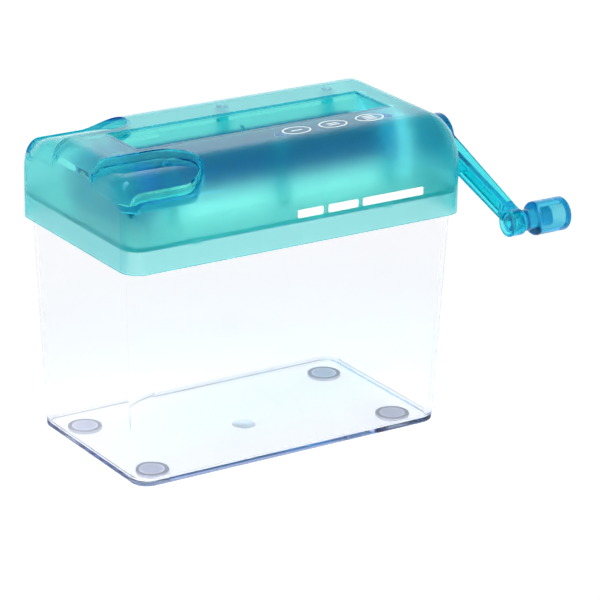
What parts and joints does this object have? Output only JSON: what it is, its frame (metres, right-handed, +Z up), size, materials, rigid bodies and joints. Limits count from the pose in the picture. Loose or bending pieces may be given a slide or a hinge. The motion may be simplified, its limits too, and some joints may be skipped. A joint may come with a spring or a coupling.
{
  "type": "hand-crank paper shredder",
  "caption": "Hand-crank paper shredder: translucent cutting head with feed slot and side crank, lifting off a clear tapered bin.",
  "frame": {"origin": "on the surface the feet rest on, under the centre of the bin", "axes": "+X along the long side, towards the crank; +Y towards the back; +Z up"},
  "size_m": [0.212, 0.1406, 0.1493],
  "materials": {
    "clear_plastic": "clear, faintly blue, moulded",
    "teal_plastic": "translucent teal, polished outside",
    "blue_plastic": "translucent blue-teal, polished",
    "foot_pad": "soft grey, slightly clear",
    "cutter_steel": "stamped steel",
    "shaft_steel": "turned steel",
    "spacer_plastic": "moulded",
    "bearing_plastic": "natural nylon",
    "plate_plastic": "translucent, moulded",
    "screw_steel": "zinc plated"
  },
  "bodies": {
    "bin": {"bin_shell": "clear_plastic", "bin_feet": "foot_pad"},
    "head": {"top_cover": "teal_plastic", "base_tray": "teal_plastic", "case_screws": "screw_steel", "left_side_plate": "plate_plastic", "right_side_plate": "plate_plastic", "plate_screws": "screw_steel", "front_left_bush": "bearing_plastic", "rear_left_bush": "bearing_plastic", "front_right_bush": "bearing_plastic", "rear_right_bush": "bearing_plastic", "front_comb": "plate_plastic", "rear_comb": "plate_plastic"},
    "drive_roller": {"front_shaft": "shaft_steel", "front_cutters": "cutter_steel", "front_spacers": "spacer_plastic", "front_gear": "bearing_plastic", "front_clip": "screw_steel", "crank_arm": "blue_plastic", "crank_screw": "screw_steel"},
    "rear_roller": {"rear_shaft": "shaft_steel", "rear_cutters": "cutter_steel", "rear_spacers": "spacer_plastic", "rear_gear": "bearing_plastic", "rear_clips": "screw_steel"},
    "knob": {"knob_grip": "blue_plastic", "knob_pin": "blue_plastic"}
  },
  "joints": [
    {"name": "head_lift", "type": "slide", "parent": "bin", "child": "head", "axis": [0, 0, 1], "range_m": [0, 0.06]},
    {"name": "crank_turn", "type": "hinge", "parent": "head", "child": "drive_roller", "pos_m": [0, -0.0105, 0.12903], "axis": [1, 0, 0], "continuous": true},
    {"name": "rear_roller_turn", "type": "hinge", "parent": "head", "child": "rear_roller", "pos_m": [0, 0.0105, 0.12903], "axis": [1, 0, 0], "continuous": true},
    {"name": "knob_spin", "type": "hinge", "parent": "drive_roller", "child": "knob", "pos_m": [0.11, -0.08086, 0.10779], "axis": [1, 0, 0], "continuous": true}
  ],
  "couplings": [
    {"joint": "rear_roller_turn", "follows": "crank_turn", "ratio": -1}
  ]
}
